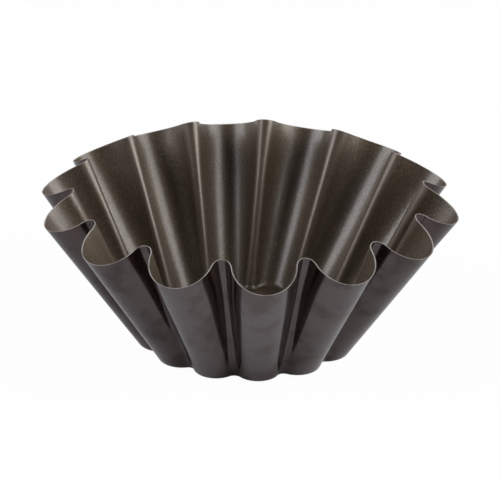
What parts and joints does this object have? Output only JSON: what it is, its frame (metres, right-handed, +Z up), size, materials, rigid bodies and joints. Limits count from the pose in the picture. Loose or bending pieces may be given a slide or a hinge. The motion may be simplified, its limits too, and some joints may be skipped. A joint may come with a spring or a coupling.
{
  "type": "brioche mould",
  "caption": "Round flared baking mould of pressed non-stick steel sheet, with deep rounded flutes from the flat floor to a wavy bare rim.",
  "frame": {"origin": "centre of the flat underside that the mould rests on", "axes": "+Z up along the mould's axis, out of its mouth; the tip of one lobe points along -Y"},
  "size_m": [0.2156, 0.2199, 0.085],
  "materials": {
    "coated_steel": "taupe metallic non-stick coating inside, darker glossy lacquer outside, bare cut edge at the rim"
  },
  "bodies": {
    "root": {"mould_shell": "coated_steel"}
  },
  "joints": []
}
